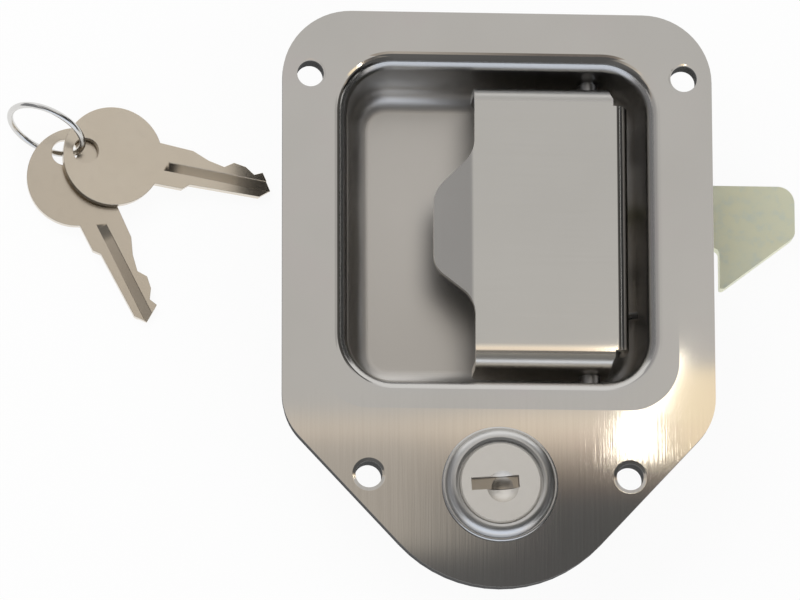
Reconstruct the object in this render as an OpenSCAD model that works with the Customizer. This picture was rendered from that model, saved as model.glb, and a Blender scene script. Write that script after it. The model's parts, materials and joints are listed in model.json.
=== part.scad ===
// Flush paddle latch on a teardrop plate, with key lock and two keys, lying on its back.
// X runs along the bolt, Y up the plate, Z out of the front face.
// The origin is the centre of the dish, on the panel face that the gasket seats on.

/* [Plate] */
// Width of the plate
plate_w = 88.9; // [80:0.1:110]
// Height of the plate
plate_h = 120.65; // [112:0.05:150]
// Thickness of the pan's stainless sheet
sheet_t = 1.6; // [1.2:0.1:2]
// Radius of the two top corners
top_corner_r = 14.3; // [6:0.1:18]
// Angle of the sloping lower sides
slope_angle = 47; // [40:1:55]
// Radius between an upright side and a sloping side
side_turn_r = 13; // [4:0.5:20]
// Radius of the round bottom
lobe_r = 28; // [24:0.5:34]
// Thickness of the rubber gasket behind the plate
gasket_t = 3; // [1.5:0.1:4]
// How far the gasket stays inside the plate's edge
gasket_inset = 0.3; // [0:0.1:1]

/* [Mounting holes] */
// Diameter of the four mounting holes
mount_d = 5.5; // [4:0.1:6.5]
// Distance between the two upper holes
upper_span = 77.3; // [72:0.1:95]
// Distance between the two lower holes
lower_span = 53.4; // [46:0.1:58]
// Distance from the top edge down to the upper holes
upper_drop = 13.5; // [10:0.1:16]
// Distance from the upper row of holes to the lower row
row_pitch = 84.1; // [80:0.1:90]

/* [Dish] */
// Width of the dish where its lip starts
dish_w = 70.5; // [66:0.1:74]
// Height of the dish where its lip starts
dish_h = 74.5; // [72:0.1:78]
// Distance from the plate's top edge to the centre of the dish
dish_drop = 44.7; // [43:0.1:57]
// Depth of the dish from the plate's front to its floor
dish_depth = 18; // [17:0.1:22]
// Corner radius of the dish at its lip
dish_corner_r = 13.7; // [13.5:0.1:17]
// Radius of the soft sink of the plate before the lip
sink_r = 12; // [9:0.5:15]
// Turn of the sheet over that sink
sink_turn = 10; // [6:1:11]
// Radius of the rolled lip
lip_r = 2.8; // [2.2:0.1:3.2]
// Radius between wall and floor
floor_r = 4.6; // [4:0.1:5.4]
// Lean of the dish walls
wall_draft = 5; // [2:0.5:7]

/* [Paddle] */
// Height of the paddle
paddle_h = 59.5; // [49:0.1:60]
// Thickness of the paddle's sheet
paddle_t = 1.6; // [1.2:0.1:2]
// Left edge of the paddle's face, from the dish centre
paddle_left = -4.6; // [-8:0.1:0]
// Length of the side flanges along the face
flange_l = 28.8; // [27:0.1:29]
// Width of the face with its bent right end
paddle_w = 31.8; // [31.5:0.1:32]
// How far the face lies below the plate's front
paddle_recess = 2.2; // [1.5:0.1:3]
// Depth of the side flanges
flange_depth = 13.2; // [11.5:0.1:14]
// Depth of the bent right end
end_depth = 8; // [6:0.1:9]
// Radius of the relief cut at the face's two right corners
relief_r = 4.4; // [4.2:0.1:4.6]
// Reach of the finger tongue to the left of the face
tongue_reach = 8.3; // [6:0.1:10]
// Bend of the finger tongue towards the floor
tongue_bend = 24; // [15:1:30]
// Height of the tongue at its free edge
tongue_tip_h = 16; // [12:0.5:20]
// Height of the tongue at its root
tongue_root_h = 31; // [28:0.5:40]

/* [Hinge] */
// Diameter of the hinge pin
pin_d = 3.2; // [2.8:0.1:4]
// Distance of the hinge pin to the right of the dish centre
pin_x = 19.6; // [19:0.1:20.4]
// Depth of the hinge pin below the paddle's face
pin_drop = 7.7; // [7:0.1:8.5]
// Radial clearance of the parts that turn on the pin
pin_clear = 0.05; // [0.02:0.01:0.1]
// Wire of the paddle's return spring
paddle_wire = 1.4; // [1:0.1:1.6]

/* [Bolt] */
// Thickness of the bolt
bolt_t = 3.2; // [2.5:0.1:4]
// Height of the bolt's shank
bolt_h = 13.5; // [12:0.1:15]
// Lower edge of the shank, from the dish centre
bolt_low = 1.4; // [-1:0.1:2]
// Reach of the bolt past the plate's edge
bolt_reach = 20.2; // [16:0.1:26]
// Length of the bolt's nose
nose_l = 16; // [13:0.1:18]
// How far the nose hangs below the shank
nose_drop = 8.7; // [6:0.1:9.5]
// Slope of the nose's bevel
bevel_angle = 37; // [33:1:42]
// Width of the leg that the lock cam guards
leg_w = 6; // [5:0.1:7]
// Length of that leg below the shank
leg_l = 31; // [28:0.5:33]
// Travel of the bolt when the paddle is pulled
bolt_travel = 10.8; // [10.6:0.1:11.5]
// Gap between the drive arm and the bolt's lug
lug_gap = 0.4; // [0.3:0.05:0.6]

/* [Bolt case] */
// Thickness of the case's sheet
case_t = 1.6; // [1.2:0.1:2]
// Height of the case behind the dish
case_h = 11; // [10.6:0.1:14]
// Width of the case's feet
foot_w = 7.6; // [6.5:0.1:8]
// Left end of the case, from the dish centre
case_left = -14; // [-18:0.1:-12]
// Right end of the case, from the dish centre
case_right = 25.5; // [24.5:0.1:25.8]
// Gap on each side of the bolt
slide_gap = 0.3; // [0.2:0.05:0.4]
// Diameter of the rivets
rivet_d = 3.2; // [2.5:0.1:3.6]
// Wire of the bolt's spring
bolt_wire = 0.9; // [0.6:0.05:1.2]

/* [Lock] */
// Distance of the lock above the plate's bottom edge
lock_rise = 21.2; // [20:0.1:24]
// Diameter of the lock's bezel
bezel_d = 23.8; // [22:0.1:25]
// Height of the bezel above the plate
bezel_h = 2.8; // [2:0.1:4]
// Diameter of the plug's face
plug_d = 16.8; // [15:0.1:17.4]
// Diameter of the lock's barrel
barrel_d = 19; // [18:0.1:20]
// Distance across the barrel's two flats
barrel_flats = 16; // [15:0.1:17]
// Length of the keyway
keyway_l = 9.8; // [8:0.1:11]
// Width of the keyway
keyway_w = 2.6; // [2.2:0.1:3]
// Tilt of the keyway when the cam is at rest
keyway_tilt = 4; // [0:1:10]
// Reach of the cam from the lock's axis
cam_reach = 28; // [22:0.5:29]
// Width of the cam
cam_w = 11; // [9:0.5:12]
// Direction of the cam at rest, from the X axis
cam_angle = 145; // [140:1:150]

/* [Keys] */
// Diameter of a key's bow
bow_d = 20.9; // [18:0.1:23]
// Length of a key from the middle of its bow to its tip
key_l = 34; // [30:0.5:38]
// Thickness of a key
key_t = 2; // [1.6:0.1:2.2]
// Mean diameter of the key ring
ring_d = 16.4; // [15:0.1:20]
// Wire of the key ring
ring_wire = 1.3; // [1:0.1:1.5]

/* [Hidden] */
$fn = 96;
eps = 0.01;
far = 200;
arc_step = 6;

// Plate levels and outline
plate_front = gasket_t + sheet_t;
plate_back = gasket_t;
plate_top = dish_drop;
plate_bottom = plate_top - plate_h;
lobe_y = plate_bottom + lobe_r;
apex_y = lobe_y - lobe_r / cos(slope_angle);
slope_top = apex_y + plate_w / 2 * tan(slope_angle);
upper_y = plate_top - upper_drop;
lower_y = upper_y - row_pitch;
mounts = [[-upper_span / 2, upper_y], [upper_span / 2, upper_y],
    [-lower_span / 2, lower_y], [lower_span / 2, lower_y]];

// Dish levels and the corners of its wall profile, u running inwards from the lip
floor_front = plate_front - dish_depth;
floor_back = floor_front - sheet_t;
rim_w = 2.5;
floor_arc_z = floor_front + floor_r;
sink_c = [0, plate_front - sink_r];
lip_c = sink_c + (sink_r - lip_r) * [sin(sink_turn), cos(sink_turn)];
lip_end = lip_c + lip_r * [cos(wall_draft), sin(wall_draft)];
wall_end_z = floor_arc_z - floor_r * sin(wall_draft);
wall_end_u = lip_end.x + (lip_end.y - wall_end_z) * tan(wall_draft);
floor_u = wall_end_u + floor_r * cos(wall_draft);
floor_rim = 1.6;
function wall_u(z) = lip_end.x + (lip_end.y - z) * tan(wall_draft);

// Paddle and hinge levels
face_z = plate_front - paddle_recess;
under_face = face_z - paddle_t;
flange_low = face_z - flange_depth;
paddle_bend_r = 2.8;
crown_r = 12;
crown_turn = 7;
bend_in = crown_r * sin(crown_turn) + paddle_bend_r * (1 - sin(crown_turn));
end_bend_r = 2.6;
tongue_bend_r = 3.2;
flange_right = paddle_left + flange_l;
paddle_right = paddle_left + paddle_w;
pin_z = face_z - pin_drop;
pin_bore_d = pin_d + 2 * pin_clear;
wall_in_y = dish_h / 2 - wall_u(pin_z);
wall_lean = 0.35;
pin_end_y = wall_in_y + sheet_t / cos(wall_draft) + wall_lean;
head_d = pin_d + 3;
sleeve_d = pin_d + 1;
head_t = 1.2;
nut_t = 0.8;
seat_gap = 0.05;

// Bolt and case levels
case_back = floor_back - case_h;
case_in = case_back + case_t;
bolt_back = case_in + slide_gap;
bolt_front = bolt_back + bolt_t;
bolt_mid_y = bolt_low + bolt_h / 2;
arm_t = 3;
finger_w = 4.4;
finger_tip_z = case_in + 0.4;
lug_right = pin_x - finger_w / 2 - lug_gap;
lug_left = lug_right - bolt_t;
lug_w = 8;
lug_top = floor_back - 1;
nose_right = plate_w / 2 + bolt_reach;
nose_left = nose_right - nose_l;
nose_low = bolt_low - nose_drop;
window_l = 15.5;
window_w = arm_t + 1;
finger_slot_left = pin_x - 12.4;
finger_slot_right = pin_x + finger_w / 2 + 1.2;
case_half = bolt_h / 2 + slide_gap;
foot_y = case_half + case_t + foot_w / 2 + 0.4;
upper_rivets = [1, 20];
lower_rivets = [-1.6, case_right - 4];
rivets = concat([for (x = upper_rivets) [x, bolt_mid_y + foot_y]],
    [for (x = lower_rivets) [x, bolt_mid_y - foot_y]]);
rivet_head_d = rivet_d + 2.2;
rivet_head_h = 1.3;

// Lock levels
lock_y = plate_bottom + lock_rise;
fit_gap = 0.05;
plug_head_t = bezel_h - 1;
rim_top = plate_front + bezel_h;
plug_face = rim_top - 0.4;
plug_edge = 0.4;
ring_groove = 0.33;
plug_body_d = 13;
dimple_r = 4;
dimple_depth = 1.7;
shutter_drop = 1;
shutter_t = 1.8;
shutter_gap = 0.12;
barrel_end = -17.5;
cam_t = 2.4;
cam_front = barrel_end - 0.6;
cam_back = cam_front - cam_t;
tail_af = 8;
cam_washer_t = 1.2;
screw_front = cam_back - cam_washer_t;
screw_d = 5;
nut_af = 25.4;
lock_nut_t = 4;
lock_washer_t = 0.8;
lock_washer_d = 25;

// Keys and ring on the table that the case and the lock rest on
table_z = case_back;
bow_hole_d = 5.4;
bow_hole_x = -5.8;
front_bow = [-79.1, 19.3];
front_turn = -8.8;
rear_bow = [-86.1, 15.4];
rear_turn = -62.7;
stack_gap = 0.38;
front_cross = key_l - 4;
rear_cross = key_l - 4.8;
rear_tilt = asin((ring_wire + 0.57) / (key_l - bow_hole_x));
front_tilt = asin((key_t + rear_cross * sin(rear_tilt) + stack_gap) / front_cross);
ring_tilt = 74.3;
ring_turn = -23.7;
ring_at = [-92.6, 24.06, table_z + ring_d / 2 * sin(ring_tilt) + ring_wire / 2];

function unit(v) = v / norm(v);
function arc(c, r, a0, a1) =
    let (n = max(4, ceil(abs(a1 - a0) / arc_step)))
    [for (i = [0:n]) c + r * [cos(a0 + (a1 - a0) * i / n), sin(a0 + (a1 - a0) * i / n)]];

// One corner of an outline, turned into an arc of radius r that touches both of its sides
function corner(p, q, s, r) =
    let (a = unit(p - q), b = unit(s - q), half = acos(a * b) / 2)
    let (c = q + unit(a + b) * r / sin(half))
    let (from = q + a * r / tan(half) - c, to = q + b * r / tan(half) - c)
    let (start = atan2(from.y, from.x), turn = atan2(to.y, to.x) - start)
    arc(c, r, start, start + (turn > 180 ? turn - 360 : turn < -180 ? turn + 360 : turn));

// Outline through points [x, y, r], each corner rounded by its own radius
function rounded(pts) =
    let (n = len(pts), xy = [for (p = pts) [p.x, p.y]])
    [for (i = [0:n - 1])
        each pts[i][2] > 0
            ? corner(xy[(i + n - 1) % n], xy[i], xy[(i + 1) % n], pts[i][2])
            : [xy[i]]];

// Two arcs that meet in one point
function joined(a, b) = concat(a, [for (i = [1:len(b) - 1]) b[i]]);

function backwards(pts) = [for (i = [len(pts) - 1:-1:0]) pts[i]];
function flipped(pts) = [for (p = pts) [-p.x, p.y]];

function slot(x0, x1, w) =
    concat(arc([x0 + w / 2, 0], w / 2, 90, 270), arc([x1 - w / 2, 0], w / 2, -90, 90));

// The teardrop outline, moved in by an inset
function teardrop(inset) =
    let (w = plate_w / 2 - inset, low = apex_y + inset / cos(slope_angle))
    let (side = low + w * tan(slope_angle))
    rounded([[w, plate_top - inset, top_corner_r - inset], [-w, plate_top - inset, top_corner_r - inset],
        [-w, side, side_turn_r - inset], [0, low, lobe_r - inset], [w, side, side_turn_r - inset]]);

function rectangle(w, h, r) =
    rounded([[w / 2, h / 2, r], [-w / 2, h / 2, r], [-w / 2, -h / 2, r], [w / 2, -h / 2, r]]);

// The pressed sheet of the dish, from the plate over the lip and down the wall to the floor
dish_sheet = concat(
    [[-rim_w, plate_front]],
    joined(arc(sink_c, sink_r, 90, 90 - sink_turn), arc(lip_c, lip_r, 90 - sink_turn, wall_draft)),
    arc([floor_u, floor_arc_z], floor_r, 180 + wall_draft, 270),
    [[floor_u + floor_rim, floor_front], [floor_u + floor_rim, floor_back]],
    arc([floor_u, floor_arc_z], floor_r + sheet_t, 270, 180 + wall_draft),
    joined(arc(lip_c, lip_r - sheet_t, wall_draft, 90 - sink_turn),
        arc(sink_c, sink_r - sheet_t, 90 - sink_turn, 90)),
    [[-rim_w, plate_back]]);

module along_x(length) {
    rotate([90, 0, 90]) linear_extrude(length) children();
}

module along_y(length) {
    rotate([90, 0, 0]) linear_extrude(length, center = true) children();
}

module on_pin(y0, y1, d) {
    translate([pin_x, y1, pin_z]) rotate([90, 0, 0]) cylinder(d = d, h = y1 - y0);
}

module at_lock(z) {
    translate([0, lock_y, z]) children();
}

// Wall of the dish: four straight runs and four quarter turns of one sheet profile
module dish_wall() {
    for (run = [[0, dish_w, dish_h], [90, dish_h, dish_w], [180, dish_w, dish_h], [270, dish_h, dish_w]])
        rotate(run[0]) along_y(run[2] - 2 * dish_corner_r)
            polygon([for (p = dish_sheet) [run[1] / 2 - p.x, p.y]]);
    for (turn = [[0, 1, 1], [90, -1, 1], [180, -1, -1], [270, 1, -1]])
        translate([turn[1] * (dish_w / 2 - dish_corner_r), turn[2] * (dish_h / 2 - dish_corner_r), 0])
            rotate(turn[0]) rotate_extrude(angle = 90)
                polygon([for (p = dish_sheet) [dish_corner_r - p.x, p.y]]);
}

module lock_hole(z0, z1, clear) {
    intersection() {
        at_lock(z0) cylinder(d = barrel_d + 2 * clear, h = z1 - z0);
        at_lock(z0) translate([-barrel_d, -barrel_flats / 2 - clear, 0])
            cube([2 * barrel_d, barrel_flats + 2 * clear, z1 - z0]);
    }
}

module pan() {
    overlap = 1;
    color("silver") difference() {
        union() {
            translate([0, 0, plate_back]) linear_extrude(sheet_t) difference() {
                polygon(teardrop(0));
                polygon(rectangle(dish_w + 2 * overlap, dish_h + 2 * overlap, dish_corner_r + overlap));
            }
            dish_wall();
            translate([0, 0, floor_back]) linear_extrude(sheet_t)
                polygon(rectangle(dish_w - 2 * floor_u - overlap, dish_h - 2 * floor_u - overlap,
                    dish_corner_r - floor_u - overlap / 2));
        }
        for (p = mounts)
            translate([p.x, p.y, plate_back - 1]) cylinder(d = mount_d, h = sheet_t + 2);
        lock_hole(plate_back - 1, plate_front + 1, fit_gap);
        translate([0, bolt_mid_y, floor_back - 1]) linear_extrude(sheet_t + 2)
            polygon(slot(finger_slot_left, finger_slot_right, window_w));
        for (p = rivets)
            translate([p.x, p.y, floor_back - 1]) cylinder(d = rivet_d, h = sheet_t + 2);
        on_pin(-dish_h, dish_h, pin_bore_d);
    }
}

module flange_gasket() {
    gap = 0.3;
    color("#1c1c1c") difference() {
        linear_extrude(gasket_t) difference() {
            polygon(teardrop(gasket_inset));
            polygon(rectangle(dish_w + 2 * gap, dish_h + 2 * gap, dish_corner_r + gap));
        }
        for (p = mounts)
            translate([p.x, p.y, -1]) cylinder(d = mount_d, h = gasket_t + 2);
        at_lock(-1) cylinder(d = nut_af / cos(30) + 1, h = gasket_t + 2);
    }
}

// The face's edge over its soft crown and round the bend, or the same edge a sheet further in
function face_edge(inset) =
    let (c = [paddle_h / 2 - bend_in, face_z - crown_r])
    let (bend_c = c + (crown_r - paddle_bend_r) * [sin(crown_turn), cos(crown_turn)])
    joined(arc(c, crown_r - inset, 90, 90 - crown_turn), arc(bend_c, paddle_bend_r - inset, 90 - crown_turn, 0));

module paddle_channel() {
    w = paddle_h / 2;
    inner = w - paddle_t;
    outside = face_edge(0);
    inside = face_edge(paddle_t);
    flange_foot_r = 3;
    intersection() {
        translate([paddle_left, 0, 0]) along_x(flange_l)
            polygon(concat([[-w, flange_low]], flipped(backwards(outside)), outside, [[w, flange_low], [inner, flange_low]],
                backwards(inside), flipped(inside), [[-inner, flange_low]]));
        along_y(far) polygon(rounded([[paddle_left, face_z + 1, 0], [paddle_left, flange_low, flange_foot_r],
            [flange_right, flange_low, flange_foot_r], [flange_right, face_z + 1, 0]]));
    }
}

module paddle_end() {
    low = face_z - end_depth;
    r = end_bend_r;
    lap = 2;
    along_y(paddle_h - 2 * bend_in) polygon(rounded([[flange_right - lap, face_z, 0],
        [flange_right - lap, under_face, 0], [paddle_right - paddle_t, under_face, r - paddle_t], [paddle_right - paddle_t, low, 0],
        [paddle_right, low, 0], [paddle_right, face_z, r]]));
}

module paddle_tongue() {
    lap = 2;
    tip_r = 6;
    root_r = 7;
    tip = paddle_left - tongue_reach;
    bend_at = [paddle_left, face_z - tongue_bend_r];
    turn = 90 + tongue_bend;
    run = 2 * tongue_reach;
    along = [-cos(tongue_bend), -sin(tongue_bend)] * run;
    front = arc(bend_at, tongue_bend_r, 90, turn);
    back = arc(bend_at, tongue_bend_r - paddle_t, turn, 90);
    intersection() {
        along_y(tongue_root_h + 2 * root_r) polygon(concat([[paddle_left + lap, face_z]], front,
            [front[len(front) - 1] + along, back[0] + along], back, [[paddle_left + lap, under_face]]));
        translate([0, 0, -far / 2]) linear_extrude(far)
            polygon(rounded([[paddle_left + lap, tongue_root_h, 0], [paddle_left, tongue_root_h, 0],
                [paddle_left, tongue_root_h / 2, root_r], [tip, tongue_tip_h / 2, tip_r],
                [tip, -tongue_tip_h / 2, tip_r], [paddle_left, -tongue_root_h / 2, root_r],
                [paddle_left, -tongue_root_h, 0], [paddle_left + lap, -tongue_root_h, 0]]));
    }
}

module paddle() {
    color("lightgray") difference() {
        union() {
            paddle_channel();
            paddle_end();
            paddle_tongue();
        }
        on_pin(-paddle_h, paddle_h, pin_bore_d);
        for (s = [-1, 1])
            translate([paddle_right + 0.6, s * (paddle_h / 2 + 0.1), flange_low - 1])
                cylinder(r = relief_r, h = flange_depth + 2);
    }
}

// Lever welded under the face; its finger reaches through the floor to the bolt's lug
module drive_arm() {
    pad = 4.8;
    hub_low = pin_z - 3;
    neck = pin_z - 6.5;
    color("gainsboro") difference() {
        translate([pin_x, bolt_mid_y, 0]) along_y(arm_t) polygon(rounded([
            [-pad, under_face, 0], [-pad, hub_low, 2], [-finger_w / 2, neck, 2],
            [-finger_w / 2, finger_tip_z, finger_w / 2 - eps], [finger_w / 2, finger_tip_z, finger_w / 2 - eps],
            [finger_w / 2, neck, 2], [pad, hub_low, 2], [pad, under_face, 0]]));
        on_pin(0, 2 * bolt_mid_y, pin_bore_d);
    }
}

module hinge_pin() {
    color("whitesmoke") {
        on_pin(-pin_end_y - nut_t - 1, pin_end_y + eps, pin_d);
        on_pin(pin_end_y, pin_end_y + head_t, head_d);
    }
}

module pin_spacers() {
    flange_gap = 0.2;
    y0 = paddle_h / 2 + flange_gap;
    y1 = wall_in_y - wall_lean;
    color("whitesmoke") for (s = [0, 1]) mirror([0, s, 0]) difference() {
        on_pin(y0, y1, sleeve_d);
        on_pin(y0 - 1, y1 + 1, pin_bore_d);
    }
}

module pin_push_nut() {
    nut_d = pin_d + 4.4;
    color("silver") difference() {
        on_pin(-pin_end_y - nut_t, -pin_end_y, nut_d);
        on_pin(-pin_end_y - nut_t - 1, -pin_end_y + 1, pin_bore_d);
    }
}

// Round wire wound about Z, from z = 0 up
module coil(mean_r, wire_r, turns, pitch) {
    steps = 14;
    sides = 6;
    rings = round(turns * steps);
    points = [for (i = [0:rings], k = [0:sides - 1])
        let (a = 360 * i / steps, b = 360 * k / sides)
        [(mean_r + wire_r * cos(b)) * cos(a), (mean_r + wire_r * cos(b)) * sin(a),
            pitch * i / steps + wire_r * sin(b)]];
    skin = [for (i = [0:rings - 1], k = [0:sides - 1])
        let (n = (k + 1) % sides)
        [i * sides + k, i * sides + n, (i + 1) * sides + n, (i + 1) * sides + k]];
    caps = [[for (k = [sides - 1:-1:0]) k], [for (k = [0:sides - 1]) rings * sides + k]];
    polyhedron(points, concat(skin, caps));
}

module wire(from, to, d) {
    v = to - from;
    translate(from) rotate([0, acos(v.z / norm(v)), atan2(v.y, v.x)]) cylinder(d = d, h = norm(v), $fn = 24);
}

module paddle_spring() {
    turns = 6.5;
    flange_gap = 2;
    pitch = paddle_wire + 0.15;
    mean_r = pin_d / 2 + 0.5 + paddle_wire / 2;
    last_y = flange_gap + paddle_t - paddle_h / 2;
    first_y = last_y + turns * pitch;
    reach = 4.2;
    rest = 0.1;
    floor_leg = [pin_x, first_y, pin_z - mean_r];
    face_leg = [pin_x, last_y, pin_z + mean_r];
    color("dimgray") union() {
        translate([pin_x, first_y, pin_z]) rotate([90, 90, 0]) coil(mean_r, paddle_wire / 2, turns, pitch);
        wire(floor_leg, [pin_x + reach, first_y, floor_front + paddle_wire / 2 + rest], paddle_wire);
        wire(face_leg, [pin_x + reach, last_y, under_face - paddle_wire / 2 - rest], paddle_wire);
    }
}

module bolt() {
    y0 = bolt_low;
    y1 = bolt_low + bolt_h;
    bevel_x = nose_left + 0.8;
    bevel_y = nose_low + (nose_right - bevel_x) * tan(bevel_angle);
    leg_right = lug_left + leg_w;
    window_x = lug_right;
    color("#cfd3bd") difference() {
        union() {
            translate([0, 0, bolt_back]) linear_extrude(bolt_t) polygon(rounded([
                [lug_left, y1, 1], [lug_left, y0 - leg_l, 2], [leg_right, y0 - leg_l, 2], [leg_right, y0, 0.6],
                [nose_left, y0, 1.2], [nose_left, nose_low, 0.3], [bevel_x, nose_low, 0.3],
                [nose_right, bevel_y, 2], [nose_right, y1, 3.6]]));
            translate([lug_left, bolt_mid_y - lug_w / 2, bolt_back + eps])
                cube([bolt_t, lug_w, lug_top - bolt_back - eps]);
        }
        translate([window_x + window_l / 2, bolt_mid_y, bolt_back - 1]) linear_extrude(bolt_t + 2)
            polygon(rectangle(window_l, window_w, 0.6));
    }
}

module bolt_spring() {
    end_gap = 0.15;
    outer_d = 7;
    turns = 10;
    x0 = case_left + case_t + end_gap;
    x1 = lug_left - end_gap;
    pitch = (x1 - x0 - bolt_wire) / turns;
    z = (case_in + floor_back) / 2;
    color("silver") translate([x0 + bolt_wire / 2, bolt_mid_y, z]) rotate([0, 90, 0])
        coil((outer_d - bolt_wire) / 2, bolt_wire / 2, turns, pitch);
}

// One half of the case's hat section, from the middle of its back to the end of its foot and back
function hat_half() =
    let (a = case_half, b = case_half + case_t, foot = b + foot_w, foot_low = floor_back - case_t)
    [[0, case_back, 0], [b, case_back, 2.4], [b, foot_low, 0.8], [foot, foot_low, 0], [foot, floor_back, 0],
        [a, floor_back, 2.4], [a, case_in, 0.5]];

module bolt_case() {
    half = hat_half();
    other = [for (i = [len(half) - 1:-1:1]) [-half[i].x, half[i].y, half[i][2]]];
    tab_l = 4;
    tab_w = 2.3;
    tab_z = bolt_front + slide_gap;
    window_x0 = lug_left - bolt_travel - 0.5;
    window_x1 = lug_left + leg_w + 1;
    window_top = bolt_front + 1.2;
    length = case_right - case_left;
    color("#c9cdb8") difference() {
        union() {
            translate([case_left, bolt_mid_y, 0]) along_x(length) polygon(rounded(concat(half, other)));
            translate([case_left, bolt_mid_y - case_half - eps, case_in - eps])
                cube([case_t, 2 * case_half + 2 * eps, lug_top - case_in]);
            for (s = [0, 1], x = [case_right - 11, case_right - tab_l])
                translate([x, bolt_mid_y, tab_z]) mirror([0, s, 0])
                    translate([0, case_half - tab_w, 0]) cube([tab_l, tab_w + eps, case_t]);
        }
        translate([window_x0, bolt_mid_y - case_half - case_t - 1, case_in])
            cube([window_x1 - window_x0, case_t + 1.5, window_top - case_in]);
        for (p = rivets)
            translate([p.x, p.y, floor_back - case_t - 1]) cylinder(d = rivet_d, h = case_t + 2);
    }
}

module case_rivets() {
    grip = sheet_t + case_t;
    shank_d = rivet_d - 2 * fit_gap;
    dome = rivet_head_h;
    color("gainsboro") for (p = rivets) translate([p.x, p.y, floor_back - case_t]) rotate_extrude()
        polygon(concat([[0, -dome]], [[rivet_head_d / 2 - 0.8, -dome], [rivet_head_d / 2, -0.5],
            [rivet_head_d / 2, 0], [shank_d / 2, 0], [shank_d / 2, grip], [rivet_head_d / 2, grip],
            [rivet_head_d / 2, grip + 0.4], [rivet_head_d / 2 - 0.9, grip + dome], [0, grip + dome]]));
}

module lock_body() {
    r = bezel_d / 2;
    bore = plug_d / 2 + fit_gap;
    step = 0.8;
    dome_r = rim_top - plate_front - step;
    dome_x = r - 0.65 - dome_r;
    groove_low = plug_face - 0.8;
    color("lightgray") difference() {
        union() {
            at_lock(0) rotate_extrude() polygon(concat([[bore, plate_front], [r, plate_front]],
                arc([r - 0.4, plate_front + step - 0.4], 0.4, 0, 90),
                arc([dome_x, plate_front + step], dome_r, 0, 90),
                [[plug_d / 2 + ring_groove, rim_top - 0.1], [plug_d / 2 + ring_groove, groove_low], [bore, groove_low]]));
            lock_hole(barrel_end, plate_front + eps, 0);
        }
        at_lock(plug_face - plug_head_t - 0.1) cylinder(r = bore, h = far);
        at_lock(barrel_end - 1) cylinder(d = plug_body_d + 2 * fit_gap, h = far);
    }
}

// Round hollow that guides the key's tip, cut into the plug and into its shutter alike
module key_dimple() {
    at_lock(plug_face + dimple_r - dimple_depth) translate([0.4, -0.9, 0]) sphere(r = dimple_r);
}

module keyway(z0, z1, gap) {
    at_lock(z0) rotate(keyway_tilt) translate([-keyway_l / 2 - 1.1 + gap, -keyway_w / 2 + gap, 0])
        cube([keyway_l - 2 * gap, keyway_w - 2 * gap, z1 - z0]);
}

module lock_plug() {
    keyway_depth = 18;
    tail_back = cam_back;
    color("darkgray") difference() {
        union() {
            at_lock(plug_face - plug_head_t) cylinder(d = plug_d, h = plug_head_t - plug_edge);
            at_lock(plug_face - plug_edge) cylinder(d1 = plug_d, d2 = plug_d - 2 * plug_edge, h = plug_edge);
            at_lock(barrel_end - 0.3) cylinder(d = plug_body_d, h = plug_face - barrel_end - 1);
            at_lock(tail_back) translate([-tail_af / 2, -tail_af / 2, 0])
                cube([tail_af, tail_af, barrel_end - tail_back]);
        }
        keyway(plug_face - keyway_depth, far, 0);
        key_dimple();
        at_lock(tail_back - 1) cylinder(d = screw_d + 2 * fit_gap, h = 12);
    }
}

// Dust flap that closes the keyway until the key pushes it in
module keyway_shutter() {
    color("gray") difference() {
        keyway(plug_face - shutter_drop - shutter_t, plug_face - shutter_drop, shutter_gap);
        key_dimple();
    }
}

module lock_washer() {
    color("silver") difference() {
        at_lock(plate_back - lock_washer_t) cylinder(d = lock_washer_d, h = lock_washer_t);
        at_lock(plate_back - lock_washer_t - 1) cylinder(d = barrel_d + 2 * fit_gap, h = lock_washer_t + 2);
    }
}

module lock_nut() {
    top = plate_back - lock_washer_t;
    chamfer_d = nut_af + 1.2;
    color("silver") difference() {
        intersection() {
            at_lock(top - lock_nut_t) cylinder(d = nut_af / cos(30), h = lock_nut_t, $fn = 6);
            at_lock(top - lock_nut_t) cylinder(d1 = chamfer_d, d2 = chamfer_d + 2 * lock_nut_t, h = lock_nut_t);
        }
        at_lock(top - lock_nut_t - 1) cylinder(d = barrel_d + 2 * fit_gap, h = lock_nut_t + 2);
    }
}

module lock_cam() {
    w = cam_w / 2;
    hub = 8;
    tip_w = w - 1;
    af = tail_af + 2 * fit_gap;
    color("#c9cdb8") at_lock(cam_back) difference() {
        rotate(cam_angle) linear_extrude(cam_t) polygon(rounded([[-hub, -hub, 6], [hub, -hub, 3], [12, -w, 4],
            [cam_reach, -tip_w, 3], [cam_reach, tip_w, 3], [12, w, 4], [hub, hub, 3], [-hub, hub, 6]]));
        translate([-af / 2, -af / 2, -1]) cube([af, af, cam_t + 2]);
    }
}

module cam_washer() {
    washer_d = 13;
    color("silver") at_lock(screw_front) difference() {
        cylinder(d = washer_d, h = cam_washer_t);
        translate([0, 0, -1]) cylinder(d = screw_d + 0.4, h = cam_washer_t + 2);
    }
}

module cam_screw() {
    hex_af = 9;
    head_h = screw_front - table_z;
    shank_l = 9;
    color("gainsboro") {
        at_lock(table_z) cylinder(d = hex_af / cos(30), h = head_h, $fn = 6);
        at_lock(screw_front - eps) cylinder(d = screw_d, h = shank_l);
    }
}

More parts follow.
